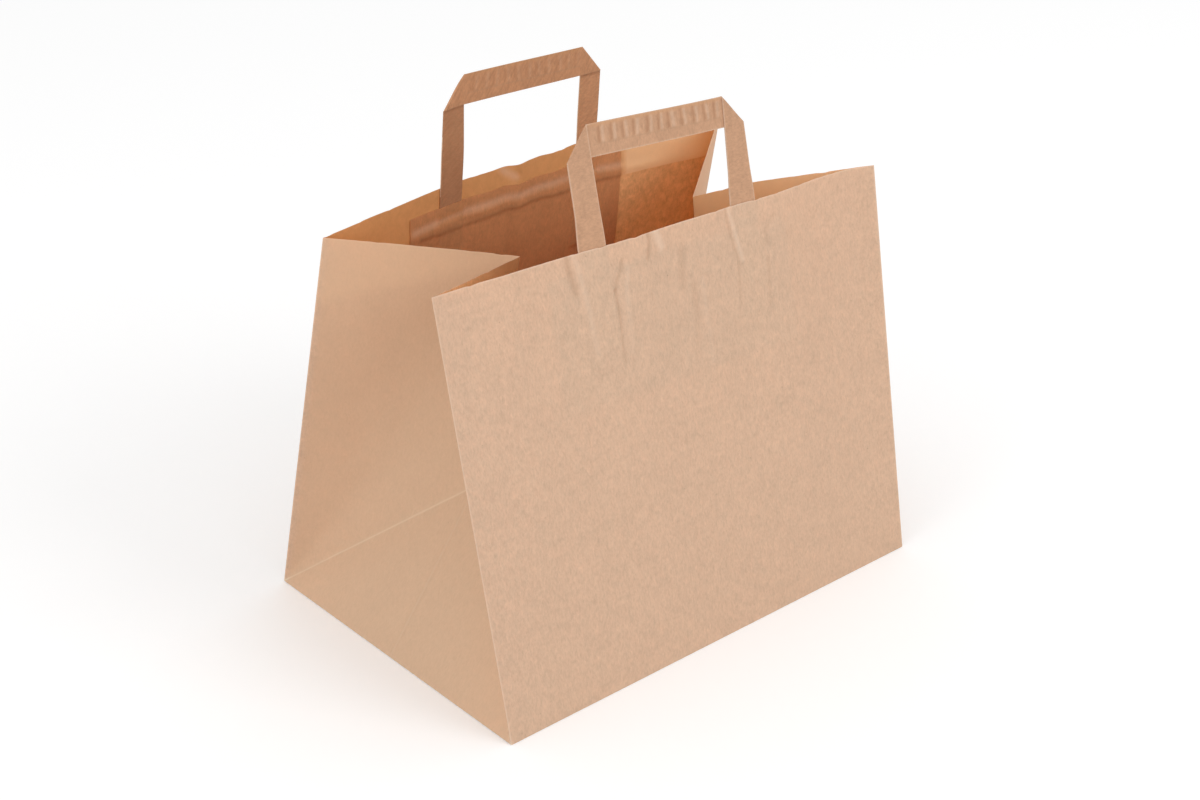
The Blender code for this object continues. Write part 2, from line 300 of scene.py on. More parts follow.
def gusset_point(side, wall, out, height):
    """Half a gusset with its long bend rounded, its upper panel and mouth edge bowed, and slight waves."""
    room = max(0, min(SOFT_BEND, HEIGHT - height, height - out))
    point = sum((panel_point(side, wall, out, height + step * room) * weight
                 for step, weight in SOFTENED), Vector((0, 0, 0)))
    point /= sum(weight for step, weight in SOFTENED)
    t = out / HALF_GUSSET
    if height > out:
        ends = [panel_point(side, wall, out, level) for level in (out, HEIGHT)]
        point = point.lerp(ends[0].lerp(ends[1], (height - out) / (HEIGHT - out)), BOWED)
    up = height / HEIGHT
    bow = follow(BOWS[side, wall], t) * up**3
    wave = waves(GUSSET_COCKLE, out, height, side + wall.side * 3)
    held = math.sin(math.pi * min(1, t)) * smooth(0, FOLD_HOLD, height)
    if height > out:
        held *= smooth(0, FOLD_HOLD, height - out)
    return point + Vector((0, 1, 0)) * (bow + wave * held)


def fold_tube(u, v):
    """Where a point of the flat web stands on the opened bag: u round the tube, v up the paper."""
    side = 1 if u > 0 else -1
    past = abs(u) - WIDTH / 2
    if past <= 0:
        return wall_point(FRONT, u, v)
    if past < HALF_GUSSET:
        return gusset_point(side, FRONT, past, v)
    if past < DEPTH:
        return gusset_point(side, BACK, DEPTH - past, v)
    if u < 0:
        return wall_point(BACK, -WIDTH / 2, v)
    return wall_point(BACK, WIDTH - past + DEPTH - WIDTH / 2, v)


def keep_flat(bm):
    """Records where each corner of the sheet lies on the flat web, as its UV in metres."""
    flat = bm.loops.layers.uv.new("flat")
    for face in bm.faces:
        for loop in face.loops:
            loop[flat].uv = loop.vert.co.xy
    return flat


def thicken(name, bm, thickness, offset, outer, inner):
    """Gives a sheet its thickness and its two faces, with crisp folds and cut edges."""
    mesh = bpy.data.meshes.new(name)
    mesh.materials.append(outer)
    mesh.materials.append(inner)
    bm.to_mesh(mesh)
    bm.free()
    item = bpy.data.objects.new(name, mesh)
    bpy.context.scene.collection.objects.link(item)
    ply = item.modifiers.new("ply", "SOLIDIFY")
    ply.thickness = thickness
    ply.offset = offset
    ply.material_offset = 1
    bpy.context.view_layer.update()
    solid = bpy.data.meshes.new_from_object(item.evaluated_get(bpy.context.evaluated_depsgraph_get()))
    item.modifiers.clear()
    item.data = solid
    bpy.data.meshes.remove(mesh)
    solid.name = name
    solid.polygons.foreach_set("use_smooth", [True] * len(solid.polygons))
    solid.set_sharp_from_angle(angle=SHARP)
    return item


def put(tree, kind, inputs=(), **settings):
    """Adds a node, sets it, and feeds its numbered or named inputs with values or sockets."""
    node = tree.nodes.new(kind)
    for name, value in settings.items():
        setattr(node, name, value)
    for key, value in dict(inputs).items():
        if isinstance(value, bpy.types.NodeSocket):
            tree.links.new(value, node.inputs[key])
        else:
            node.inputs[key].default_value = value
    return node


def new_group(name, inputs, outputs):
    """An empty node group with named sockets, and its input and output nodes."""
    group = bpy.data.node_groups.new(name, "ShaderNodeTree")
    for label, kind, value in inputs:
        socket = group.interface.new_socket(label, in_out="INPUT", socket_type="NodeSocket" + kind)
        socket.default_value = value
    for label, kind in outputs:
        group.interface.new_socket(label, in_out="OUTPUT", socket_type="NodeSocket" + kind)
    return group, group.nodes.new("NodeGroupInput"), group.nodes.new("NodeGroupOutput")


def number(tree, operation, *values, clamp=False):
    return put(tree, "ShaderNodeMath", enumerate(values), operation=operation, use_clamp=clamp).outputs[0]


def ramp(tree, value, start, end):
    """A mask that is nothing at the start value and one at the end value."""
    return put(tree, "ShaderNodeMapRange", {0: value, 1: start, 2: end}).outputs[0]


def blend_colour(tree, share, low, high):
    return put(tree, "ShaderNodeMix", {0: share, 6: low, 7: high}, data_type="RGBA").outputs[2]


SPECK_EDGE = 0.075
SPECK_FULL = 0.03
SPECK_MIDDLE = 0.65
SPECK_DEPTH = 0.45


def make_fibres():
    """Kraft fibre: a tone near one and a height, over the sheet's own flat coordinates.

    It is made of clouds, blotches, flecks, fibres, streaks along the web, and lone darker specks.
    """
    group, given, result = new_group(
        "kraft_fibres", [("Vector", "Vector", (0, 0, 0)), ("Cloud", "Float", 0.05),
                         ("Blotch", "Float", 0.05), ("Fleck", "Float", 0.06),
                         ("Streak", "Float", 0.03)],
        [("Tone", "Float"), ("Height", "Float")])
    place = given.outputs["Vector"]
    cloud = put(group, "ShaderNodeTexNoise", {"Vector": place, "Scale": 45, "Detail": 4, "Roughness": 0.6})
    blotch = put(group, "ShaderNodeTexNoise", {"Vector": place, "Scale": 190, "Detail": 4,
                                               "Roughness": 0.65, "Distortion": 0.4})
    drawn = put(group, "ShaderNodeVectorMath", {0: place, 1: (1, 0.45, 1)}, operation="MULTIPLY")
    fleck = put(group, "ShaderNodeTexNoise", {"Vector": drawn.outputs[0], "Scale": 900, "Detail": 3,
                                              "Roughness": 0.65})
    fibre = put(group, "ShaderNodeTexNoise", {"Vector": drawn.outputs[0], "Scale": 420, "Detail": 5,
                                              "Roughness": 0.75, "Distortion": 0.8})
    tall = put(group, "ShaderNodeVectorMath", {0: place, 1: (1, 0.09, 1)}, operation="MULTIPLY")
    streak = put(group, "ShaderNodeTexNoise", {"Vector": tall.outputs[0], "Scale": 210, "Detail": 3,
                                               "Roughness": 0.6})
    parts = [(cloud, given.outputs["Cloud"]), (blotch, given.outputs["Blotch"]),
             (fleck, given.outputs["Fleck"]),
             (fibre, given.outputs["Fleck"]), (streak, given.outputs["Streak"])]
    tone = 1.0
    for source, depth in parts:
        swing = number(group, "SUBTRACT", source.outputs[0], 0.5)
        tone = number(group, "MULTIPLY_ADD", swing, depth, tone)
    specks = put(group, "ShaderNodeTexVoronoi", {"Vector": place, "Scale": 130})
    shade = put(group, "ShaderNodeSeparateXYZ", {0: specks.outputs["Color"]}).outputs[0]
    dot = ramp(group, specks.outputs["Distance"], SPECK_EDGE, SPECK_FULL)
    shade = number(group, "SUBTRACT", shade, SPECK_MIDDLE)
    tone = number(group, "MULTIPLY_ADD", number(group, "MULTIPLY", dot, shade), SPECK_DEPTH, tone)
    height = number(group, "MULTIPLY_ADD", fibre.outputs[0], 0.5, fleck.outputs[0])
    height = number(group, "MULTIPLY_ADD", streak.outputs[0], 0.7, height)
    group.links.new(tone, result.inputs["Tone"])
    group.links.new(height, result.inputs["Height"])
    return group


SLACK_SPREAD = 2.4
SLACK_END = 0.012
SLACK_SOFT = 0.010
GUSSET_INSET = 0.006
RIM = 0.0295
RIM_SOFT = 0.0012
TIP_HALF = 0.025
TIP_SOFT = 0.07


def make_folds():
    """Masks of the tube's pressed folds on its flat web, and of its gussets, its rim and their tips.

    Edges are the four posts, the lap and the mouth, Slanting the folds of the bottom triangles, and
    Slack the centre fold of each gusset's foot.
    """
    group, given, result = new_group(
        "bag_folds", [("Vector", "Vector", (0, 0, 0)), ("Width", "Float", 0.001)],
        [("Edges", "Float"), ("Slanting", "Float"), ("Slack", "Float"), ("Gusset", "Float"),
         ("Rim", "Float"), ("Tip", "Float")])
    split = put(group, "ShaderNodeSeparateXYZ", {0: given.outputs["Vector"]})
    round_tube = number(group, "ABSOLUTE", split.outputs[0])
    up = split.outputs[1]

    def near(gap, width):
        return put(group, "ShaderNodeMapRange", {0: gap, 1: width, 2: 0.0},
                   interpolation_type="SMOOTHSTEP").outputs[0]

    margin = HALF_GUSSET / 2
    held = put(group, "ShaderNodeClamp", {0: round_tube, 1: WIDTH / 2 - margin,
                                          2: WIDTH / 2 + DEPTH + margin}).outputs[0]
    post = number(group, "PINGPONG", number(group, "SUBTRACT", held, WIDTH / 2), margin)
    lap = number(group, "ABSOLUTE", number(group, "SUBTRACT", split.outputs[0], RIGHT_END))
    mouth = number(group, "SUBTRACT", HEIGHT, up)
    edges = number(group, "MINIMUM", number(group, "MINIMUM", post, lap), mouth)
    middle = number(group, "ABSOLUTE", number(group, "SUBTRACT", round_tube, WIDTH / 2 + HALF_GUSSET))
    slant = number(group, "ABSOLUTE", number(group, "SUBTRACT", number(group, "ADD", middle, up),
                                             HALF_GUSSET))
    below = near(number(group, "SUBTRACT", up, HALF_GUSSET - SLACK_END), SLACK_SOFT)
    slack_width = number(group, "MULTIPLY", given.outputs["Width"], SLACK_SPREAD)
    masks = {
        "Edges": near(edges, given.outputs["Width"]),
        "Slanting": near(slant, given.outputs["Width"]),
        "Slack": number(group, "MULTIPLY", near(middle, slack_width), below),
        "Gusset": near(number(group, "SUBTRACT", middle, HALF_GUSSET - GUSSET_INSET), GUSSET_INSET),
        "Rim": near(number(group, "SUBTRACT", HEIGHT - RIM, up), RIM_SOFT),
        "Tip": near(number(group, "SUBTRACT", middle, TIP_HALF), TIP_SOFT),
    }
    for name, mask in masks.items():
        group.links.new(mask, result.inputs[name])
    return group


TUBE = 2 * (WIDTH + DEPTH)
LEFT_END = -WIDTH / 2 - DEPTH
RIGHT_END = LEFT_END + TUBE
FIBRES = make_fibres()
FOLDS = make_folds()
PALE = (0.90, 0.74, 0.58)
SHADE = (0.46, 0.28, 0.17)
INNER_SHADE = (0.36, 0.17, 0.08)
DEEP_SHADE = (0.34, 0.155, 0.075)
GLOW = (1.0, 0.59, 0.25)
THROUGH = 0.24
CLOUD = 0.12
FLECK = 0.44
STREAK = 0.03
FIBRE_HEIGHT = 0.00004
DULL = 0.82


class Paper:
    """A paper material in the making: its tree and flat coordinates, and its colour and height so far."""

    def __init__(self, name, colour, cloud, blotch, fleck):
        self.material = bpy.data.materials.new(name)
        self.material.use_nodes = True
        self.tree = self.material.node_tree
        self.shader = self.tree.nodes["Principled BSDF"]
        self.flat = put(self.tree, "ShaderNodeUVMap", uv_map="flat").outputs[0]
        self.round_tube, self.up = put(self.tree, "ShaderNodeSeparateXYZ", {0: self.flat}).outputs[:2]
        grain = put(self.tree, "ShaderNodeGroup", node_tree=FIBRES)
        self.tree.links.new(self.flat, grain.inputs["Vector"])
        grain.inputs["Cloud"].default_value = cloud
        grain.inputs["Blotch"].default_value = blotch
        grain.inputs["Fleck"].default_value = fleck
        grain.inputs["Streak"].default_value = STREAK
        self.colour = put(self.tree, "ShaderNodeVectorMath",
                          {0: colour, "Scale": grain.outputs["Tone"]}, operation="SCALE").outputs[0]
        self.height = number(self.tree, "MULTIPLY", grain.outputs["Height"], FIBRE_HEIGHT)

    def tint(self, mask, colour, strength, depth=0.0):
        """Tints the paper where a mask is one, and lifts or sinks it there."""
        share = number(self.tree, "MULTIPLY", mask, strength)
        self.colour = blend_colour(self.tree, share, self.colour, (*colour, 1))
        if depth:
            self.height = number(self.tree, "MULTIPLY_ADD", mask, depth, self.height)

    def wrinkles(self, strength, shade=SHADE):
        """Paints shade where the painted_shading attribute is above nothing, and a painted highlight where
        it is below.
        """
        given = put(self.tree, "ShaderNodeAttribute", attribute_name="painted_shading").outputs["Fac"]
        self.tint(number(self.tree, "MAXIMUM", given, 0.0), shade, strength)
        self.tint(number(self.tree, "MAXIMUM", number(self.tree, "MULTIPLY", given, -1.0), 0.0),
                  PALE, strength)

    def folds(self, width, edge, slanting, slack):
        """Tints the bag's edges, slanting folds and slack folds, each by (colour, strength, depth)."""
        lines = put(self.tree, "ShaderNodeGroup", node_tree=FOLDS)
        self.tree.links.new(self.flat, lines.inputs["Vector"])
        lines.inputs["Width"].default_value = width
        self.tint(lines.outputs["Edges"], *edge)
        self.tint(lines.outputs["Slanting"], *slanting)
        self.tint(lines.outputs["Slack"], *slack)
        return lines

    def finish(self, roughness, through):
        """Closes the material: dull paper that lets a little light through it."""
        bump = put(self.tree, "ShaderNodeBump", {"Strength": 1.0, "Distance": 1.0, "Height": self.height})
        self.tree.links.new(self.colour, self.shader.inputs["Base Color"])
        self.tree.links.new(bump.outputs[0], self.shader.inputs["Normal"])
        self.shader.inputs["Roughness"].default_value = roughness
        self.shader.inputs["Specular IOR Level"].default_value = 0.25
        lit = put(self.tree, "ShaderNodeBsdfTranslucent", {"Color": (*GLOW, 1)})
        both = put(self.tree, "ShaderNodeMixShader", {0: through, 1: self.shader.outputs[0],
                                                      2: lit.outputs[0]})
        self.tree.links.new(both.outputs[0], self.tree.nodes["Material Output"].inputs["Surface"])
        return self.material


KRAFT = (0.755, 0.555, 0.392)
GUSSET_PAINTED_BOUNCE = (0.77, 0.545, 0.352)
GUSSET_PAINTED_LIGHT = (0.93, 0.68, 0.44)
KRAFT_INSIDE_BOUNCE = (0.85, 0.52, 0.26)
INSIDE_PAINTED_SHADE = (0.66, 0.34, 0.135)
INSIDE_PAINTED_LIGHT = (0.97, 0.70, 0.42)
RUBBED_HIGHLIGHT = (1.0, 0.84, 0.62)

# The left gusset's upper panel has a painted highlight above a slanting line of the web. On the inside the
# rim has a painted highlight from the right post to the back wall's patch, and painted shade from there
# on. The tips of both gussets have painted shade too, the left one most.
LIT_SLOPE = 0.377
LIT_LEVEL = 0.3444
LIT_EDGE = (-0.003, 0.006)
LIT_SIDE = (-0.22, -0.26)
FAR_SIDE = (0.454, 0.462)
RIGHT_SIDE = (WIDTH / 2 - 0.02, WIDTH / 2)
LEFT_SIDE = (-WIDTH / 2 + 0.01, -WIDTH / 2 - 0.01)

kraft = Paper("kraft_outside", KRAFT, CLOUD, 0.20, FLECK)
# The posts, lap and mouth are paler, partly rubbed fibre and partly a painted highlight; the slanting
# folds carry a line of rubbed fibre and painted highlight, and the slack folds painted shade.
outer_folds = kraft.folds(0.0012, (PALE, 0.55), (RUBBED_HIGHLIGHT, 0.85, 0.00004), (SHADE, 0.16, -0.0003))
# Painted bounce light: the gussets, away from the posts, are a warmer, deeper kraft
kraft.tint(outer_folds.outputs["Gusset"], GUSSET_PAINTED_BOUNCE, 0.6)
tree = kraft.tree
# Painted highlight on the left gusset's upper panel, above a slanting line
lit_line = number(tree, "MULTIPLY_ADD", kraft.round_tube, LIT_SLOPE, LIT_LEVEL)
lit = ramp(tree, number(tree, "SUBTRACT", kraft.up, lit_line), *LIT_EDGE)
on_left = ramp(tree, kraft.round_tube, *LIT_SIDE)
kraft.tint(number(tree, "MULTIPLY", lit, on_left), GUSSET_PAINTED_LIGHT, 0.25)
# Painted shade and painted highlights along the wrinkles
kraft.wrinkles(0.36)
kraft_outside = kraft.finish(DULL, THROUGH)

# The inner face is the kraft deepened to orange, as painted bounce light inside the bag
inside = Paper("kraft_inside", KRAFT_INSIDE_BOUNCE, CLOUD * 2, 1.0, FLECK * 1.1)
# Inside, the posts, lap and mouth carry a painted highlight, and the slanting and slack folds painted
# shade
inner_folds = inside.folds(0.0010, (PALE, 0.3), (SHADE, 0.2, -0.0002), (SHADE, 0.10))
tree = inside.tree
rim = inner_folds.outputs["Rim"]
tips = inner_folds.outputs["Tip"]
far = ramp(tree, inside.round_tube, *FAR_SIDE)
right = number(tree, "SUBTRACT", ramp(tree, inside.round_tube, *RIGHT_SIDE), far, clamp=True)
left = ramp(tree, inside.round_tube, *LEFT_SIDE)
# Painted highlight on the inner rim up to the back wall's patch, painted shade past it and in the gusset
# tips
inside.tint(number(tree, "MULTIPLY", rim, right), INSIDE_PAINTED_LIGHT, 0.85)
inside.tint(number(tree, "MULTIPLY", rim, far), INSIDE_PAINTED_SHADE, 0.75)
inside.tint(tips, INSIDE_PAINTED_SHADE, 0.45)
inside.tint(number(tree, "MULTIPLY", left, tips), DEEP_SHADE, 0.45)
# Painted shade and painted highlights along the wrinkles, seen from inside
inside.wrinkles(0.40, INNER_SHADE)
kraft_inside = inside.finish(DULL, THROUGH)

# The mouth was cut with a toothed knife, which left it nicked. The web's cells are halved where the
# walls are wrinkled: (left, right, low, high) windows of the web, less two plain bands of the front.
NICK = 0.0009
NICK_WAVES = 130
NICK_LEAST = 0.1
FRONT_WINDOW = (-0.0785, 0.0835, 0.181, HEIGHT + NEAR)
PLAIN_BANDS = ((-0.032, -0.021, 0, HEIGHT + NEAR), (0.021, 0.041, 0, HEIGHT + NEAR))
BACK_WINDOW = (0.441, 0.639, 0.2115, 0.2335)


def within(edge, *windows):
    """Tells whether both ends of an edge of the flat web lie in the given windows."""
    return all(any(left < vert.co.x < right and low < vert.co.y < high
                   for left, right, low, high in windows) for vert in edge.verts)


web = bmesh.new()
bmesh.ops.create_grid(web, x_segments=round(TUBE / CELL), y_segments=round(HEIGHT / CELL), size=0.5,
                      matrix=Matrix.Translation((LEFT_END + TUBE / 2, HEIGHT / 2, 0))
                      @ Matrix.Diagonal((TUBE, HEIGHT, 1, 1)))
fine = [edge for edge in web.edges
        if within(edge, FRONT_WINDOW) and not within(edge, *PLAIN_BANDS) or within(edge, BACK_WINDOW)]
bmesh.ops.subdivide_edges(web, edges=fine, cuts=1, use_grid_fill=True)
flat_layer = keep_flat(web)
# Each point of the web carries the painted shading of the walls' wrinkles
painted_shading = web.verts.layers.float.new("painted_shading")
for vert in web.verts:
    x, y = vert.co.xy
    vert[painted_shading] = (wrinkled(FRONT, x, y) + wrinkled(BACK, WIDTH + DEPTH - x, y)) / DEEPEST
    nick = 0
    if y > HEIGHT - NEAR:
        nick = NICK * max(0, noise.noise(Vector((x * NICK_WAVES, 7, 0))) - NICK_LEAST)
    vert.co = fold_tube(x, y - nick)
bmesh.ops.remove_doubles(web, verts=web.verts, dist=NEAR / 20)
foot_edges = [edge for edge in web.edges if edge.is_boundary and max(v.co.z for v in edge.verts) < NEAR]
base = bmesh.ops.contextual_create(web, geom=foot_edges)["faces"][0]
for loop in base.loops:
    loop[flat_layer].uv = (loop.vert.co.x, -DEPTH / 2 - loop.vert.co.y)
bmesh.ops.recalc_face_normals(web, faces=web.faces)
if base.normal.z > 0:
    bmesh.ops.reverse_faces(web, faces=web.faces)
sheet = thicken("bag_sheet", web, PAPER, -1, kraft_outside, kraft_inside)
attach(sheet, "root")
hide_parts("bag_body")

# The base flaps: the foot of the two wide walls, folded under and lapped over each other along the
# middle with paste. Their ends are mitred, because the gusset's foot is folded in before them.
BASE_LAP = 0.030
FLAP_SETBACK = PAPER
FLAP_CELLS = (64, 25)


def base_flap(name, side, low):
    """One long flap, from its fold to past the middle of the base.

    Its flat coordinates lie below the web's foot, clear of every fold that the paper marks there.
    """
    fold = DEPTH / 2 - FLAP_SETBACK
    reach = fold + BASE_LAP / 2
    wide = WIDTH / 2 - FLAP_SETBACK
    bm = bmesh.new()
    bmesh.ops.create_grid(bm, x_segments=FLAP_CELLS[0], y_segments=FLAP_CELLS[1], size=0.5,
                          matrix=Matrix.Translation((0, side * (fold - reach / 2), 0))
                          @ Matrix.Diagonal((2 * wide, reach, 1, 1)))
    for end in (-1, 1):
        bmesh.ops.bisect_plane(bm, geom=bm.verts[:] + bm.edges[:] + bm.faces[:], dist=PAPER / 10,
                               plane_co=(end * wide, side * fold, 0), plane_no=(end, -side, 0),
                               clear_outer=True)
    flat = bm.loops.layers.uv.new("flat")
    for face in bm.faces:
        for loop in face.loops:
            loop[flat].uv = (loop.vert.co.x, -side * loop.vert.co.y - (1.5 + side / 2) * DEPTH)
    bmesh.ops.translate(bm, verts=bm.verts, vec=(0, 0, low))
    if next(iter(bm.faces)).normal.z > 0:
        bmesh.ops.reverse_faces(bm, faces=bm.faces)
    flap = thicken(name, bm, PAPER, -1, kraft_outside, kraft_inside)
    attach(flap, "root")


base_flap("front_base_flap", -1, 0)
base_flap("back_base_flap", 1, PAPER)

# The patches: a sheet of the same paper pasted over both legs of each handle inside the mouth, so it
# steps up over each leg. Each handle is glued on at its own shift and turn, and its patch laid at its own.
Glued = namedtuple("Glued", "span rise shift turn")
FRONT_GLUED = Glued(0.1298, 0.0458, 0.0004, math.radians(-1.1))
BACK_GLUED = Glued(0.1280, 0.0445, -0.0056, math.radians(-1.8))
RIBBON_WIDTH = 0.0175
RIBBON = 0.0006
GLUE_GAP = 0.0003
FRONT_LAID = (FRONT_GLUED.shift, FRONT_GLUED.turn)
BACK_LAID = (-0.0066, math.radians(-0.2))
PATCH_WIDTH = 0.174
PATCH_HEIGHT = 0.073
PATCH_DROP = 0.012
PATCH = 0.00025
PATCH_RAMP = 0.003
PATCH_CELL = 0.001
LEG_PAINTED_SHADE = 0.22


def inside_wall(wall, x, height, off):
    """A point at a distance off the inner face of a wall."""
    limit = WIDTH / 2 - NEAR
    x_mid = max(-limit, min(limit, x))
    low = max(height - NEAR, 0)
    along = wall_point(wall, x_mid + NEAR, height) - wall_point(wall, x_mid - NEAR, height)
    upward = wall_point(wall, x, low + 2 * NEAR) - wall_point(wall, x, low)
    inward = -wall.side * upward.cross(along).normalized()
    return wall_point(wall, x, height) + inward * (PAPER + off)


def turned(shift, turn):
    """The move of a piece drawn flat to its place on the wall."""
    pivot = Matrix.Translation((0, HEIGHT, 0))
    return Matrix.Translation((shift, 0, 0)) @ pivot @ Matrix.Rotation(turn, 4, "Z") @ pivot.inverted()


def make_patch(name, node, wall, glued, laid, paper):
    """A patch laid in its own place over the legs of a handle."""
    bm = bmesh.new()
    top = HEIGHT - PATCH_DROP
    bmesh.ops.create_grid(bm, x_segments=round(PATCH_WIDTH / PATCH_CELL),
                          y_segments=round(PATCH_HEIGHT / PATCH_CELL), size=0.5,
                          matrix=Matrix.Translation((0, top - PATCH_HEIGHT / 2, 0))
                          @ Matrix.Diagonal((PATCH_WIDTH, PATCH_HEIGHT, 1, 1)))
    keep_flat(bm)
    painted_shading = bm.verts.layers.float.new("painted_shading")
    outer = glued.span / 2
    inner = outer - RIBBON_WIDTH
    step = RIBBON + GLUE_GAP
    bmesh.ops.transform(bm, matrix=turned(*laid), verts=bm.verts)
    to_legs = turned(glued.shift, glued.turn).inverted()
    for vert in bm.verts:
        x, y, _ = to_legs @ vert.co
        over = smooth(inner - PATCH_RAMP, inner, abs(x)) - smooth(outer, outer + PATCH_RAMP, abs(x))
        over *= smooth(LEG_END - PATCH_RAMP, LEG_END, y)
        # Painted shade where the patch lies over a leg; on the back wall also the painted shading of the
        # wrinkles
        vert[painted_shading] = LEG_PAINTED_SHADE * over
        if wall is BACK:
            vert[painted_shading] += wrinkled(wall, vert.co.x, vert.co.y) / DEEPEST
        vert.co = inside_wall(wall, vert.co.x, vert.co.y, GLUE_GAP + step * over + PATCH)
    if wall.side < 0:
        bmesh.ops.reverse_faces(bm, faces=bm.faces)
    patch = thicken(name, bm, PATCH, -1, paper, paper)
    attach(patch, "root")
    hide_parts(node)


# The patch is the same kraft, painted darker as shade where its two layers let less light through
PATCH_SHADED_KRAFT = (0.70, 0.345, 0.155)
backing = Paper("patch_paper_looks", PATCH_SHADED_KRAFT, CLOUD * 2, 0.40, FLECK * 1.1)
backing.wrinkles(0.45, INNER_SHADE)
patch_paper = backing.finish(DULL, THROUGH)
make_patch("front_patch_sheet", "front_handle_patch", FRONT, FRONT_GLUED, FRONT_LAID, patch_paper)
make_patch("back_patch_sheet", "back_handle_patch", BACK, BACK_GLUED, BACK_LAID, patch_paper)

# The handles: one ribbon of kraft folded over several times and pressed, turned at 45 degrees at both
# top corners, so that the grip crosses inside its two legs. The legs are pasted under the patch.
CORNER_RADIUS = RIBBON / 2 + 0.00006
RIBBON_CELL = 0.001
RIBBON_CELLS_ACROSS = 14
STIFF_FROM = 0.35
SWAY_SHARE = 0.92

# Its crinkles across the grip, as places along it. They run from the ribbon's seam to close under its
# top edge, each a groove with painted shade in it and a painted highlight beside it, and drift as
# (waves a metre, waves across it, width).
CRINKLES = (-0.0405, -0.0318, -0.0240, -0.0160, -0.0076, 0.0008, 0.0082, 0.0165, 0.0250, 0.0330, 0.0408)
CRINKLE_HALF = 0.0016
CRINKLE_DRIFT = (90, 1.5, 0.0016)
CRINKLE_FOOT = (0.33, 0.43)
CRINKLE_TOP = (0.96, 0.84)
CRINKLE_FADE = 0.006
CRINKLE_HIGHLIGHT_HALF = CRINKLE_HALF * 1.3
CRINKLE_HIGHLIGHT_OFF = CRINKLE_HALF * 1.8
CRINKLE_HIGHLIGHT = 0.35
FRONT_CRINKLE = 0.00032
BACK_CRINKLE = 0.00012
FRONT_SWAY = ((-0.065, 0.0015), (-0.047, 0.0029), (0.047, -0.0017), (0.065, 0.0022))
BACK_SWAY = ((-0.064, 0.0003), (-0.047, 0.0040), (0.047, 0.0), (0.064, 0.0))

# The ribbon's inner faces are those that point into the bag by more than this
FACES_IN = -0.2


def turn_corner(point, corner, side):
    """Folds the ribbon's plan over a 45 degree line, with a small round at the fold."""
    across = Vector((side, 1)).normalized()
    along = Vector((side, -1)).normalized()
    away = point.xy - corner
    d = away.dot(across)
    a = away.dot(along)
    half_arc = math.pi * CORNER_RADIUS / 2
    if d <= -half_arc:
        return point
    if d < half_arc:
        angle = d / CORNER_RADIUS + math.pi / 2
        moved = CORNER_RADIUS * math.sin(angle) - half_arc
        drop = CORNER_RADIUS * (1 - math.cos(angle))
    else:
        moved = -d
        drop = 2 * CORNER_RADIUS
    spot = corner + along * a + across * moved
    return Vector((spot.x, spot.y, point.z - drop))


def stand(wall, glued, sway, x, height, off):
    """A point of a handle: along the wall while it is pasted, and above the mouth stiff and flat.

    The sway lists how far back the outer and inner edges of its two legs have turned at the grip.
    """
    stuck = inside_wall(wall, x, height, off)
    if height < HEIGHT:
        return stuck
    reach = glued.span / 2 - RIBBON_WIDTH / 2
    ends = [inside_wall(wall, glued.shift + end * reach, height, off) for end in (-1, 1)]
    stiff = ends[0].lerp(ends[1], (x - glued.shift + reach) / (2 * reach))
    up = (height - HEIGHT) / (glued.rise + RIBBON_WIDTH)
    point = stuck.lerp(stiff, smooth(0, STIFF_FROM, up))
    point.y += follow(sway, x - glued.shift) * smooth(0, 1, up * SWAY_SHARE)
    return point


